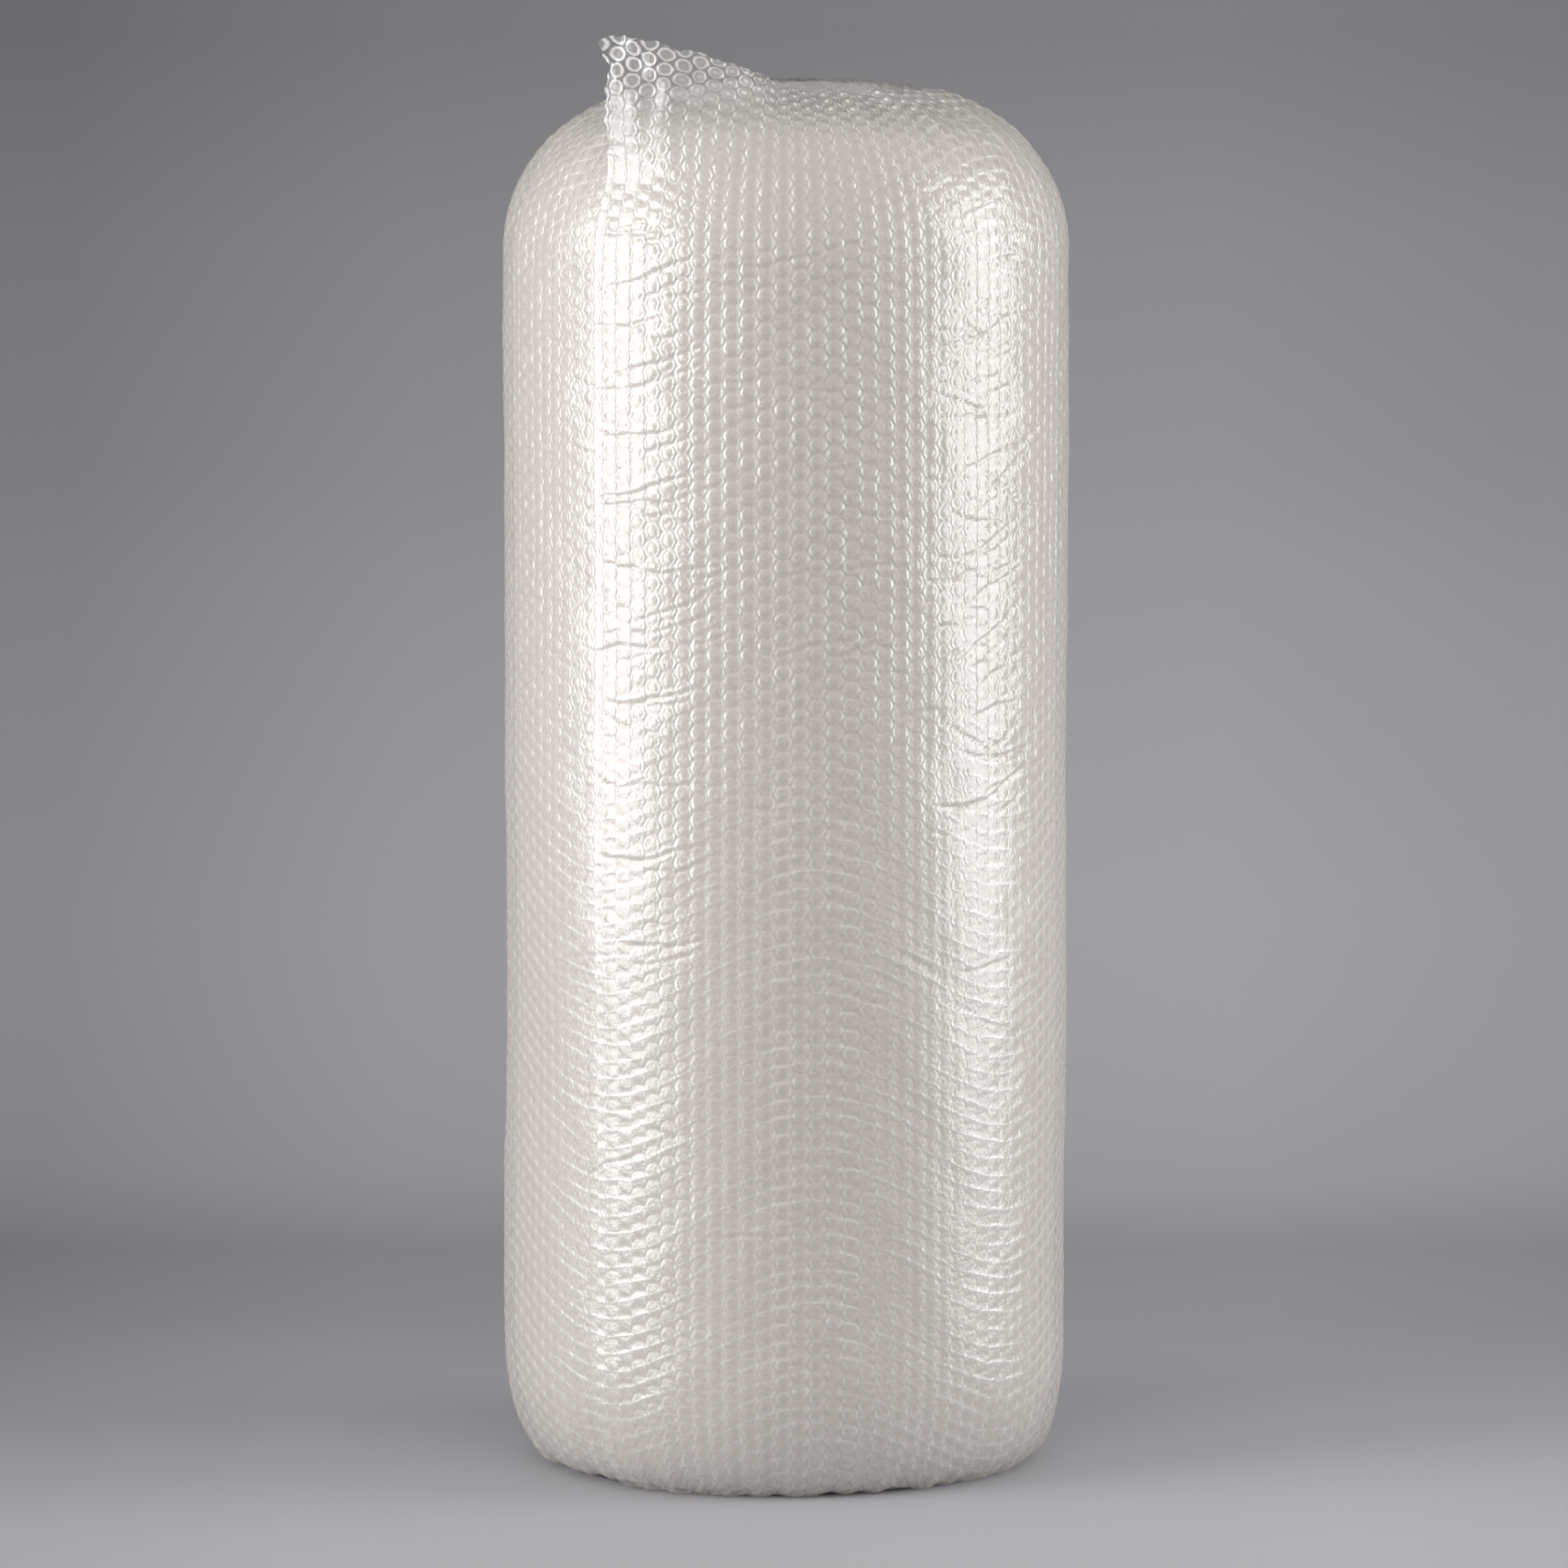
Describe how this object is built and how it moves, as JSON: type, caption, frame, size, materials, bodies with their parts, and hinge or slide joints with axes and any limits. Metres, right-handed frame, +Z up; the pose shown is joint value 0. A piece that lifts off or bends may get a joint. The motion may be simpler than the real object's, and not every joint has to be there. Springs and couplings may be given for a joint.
{
  "type": "bubble wrap roll",
  "caption": "Large roll of clear small-bubble cushioning film standing on its end, with curled-in margins, a lifted loose corner and an open winding eye.",
  "frame": {"origin": "on the roll's axis, at the level of the floor that it stands on", "axes": "+Z up along the winding axis, the front with the loose end's lifted corner at its left faces -Y, +X to the right seen from the front"},
  "size_m": [0.3627, 0.3654, 0.923],
  "materials": {
    "bubble_film": "clear polyethylene bubble film, milky in depth, glossy wrinkled outer face"
  },
  "bodies": {
    "root": {"bubble_wrap_roll": "bubble_film"}
  },
  "joints": []
}
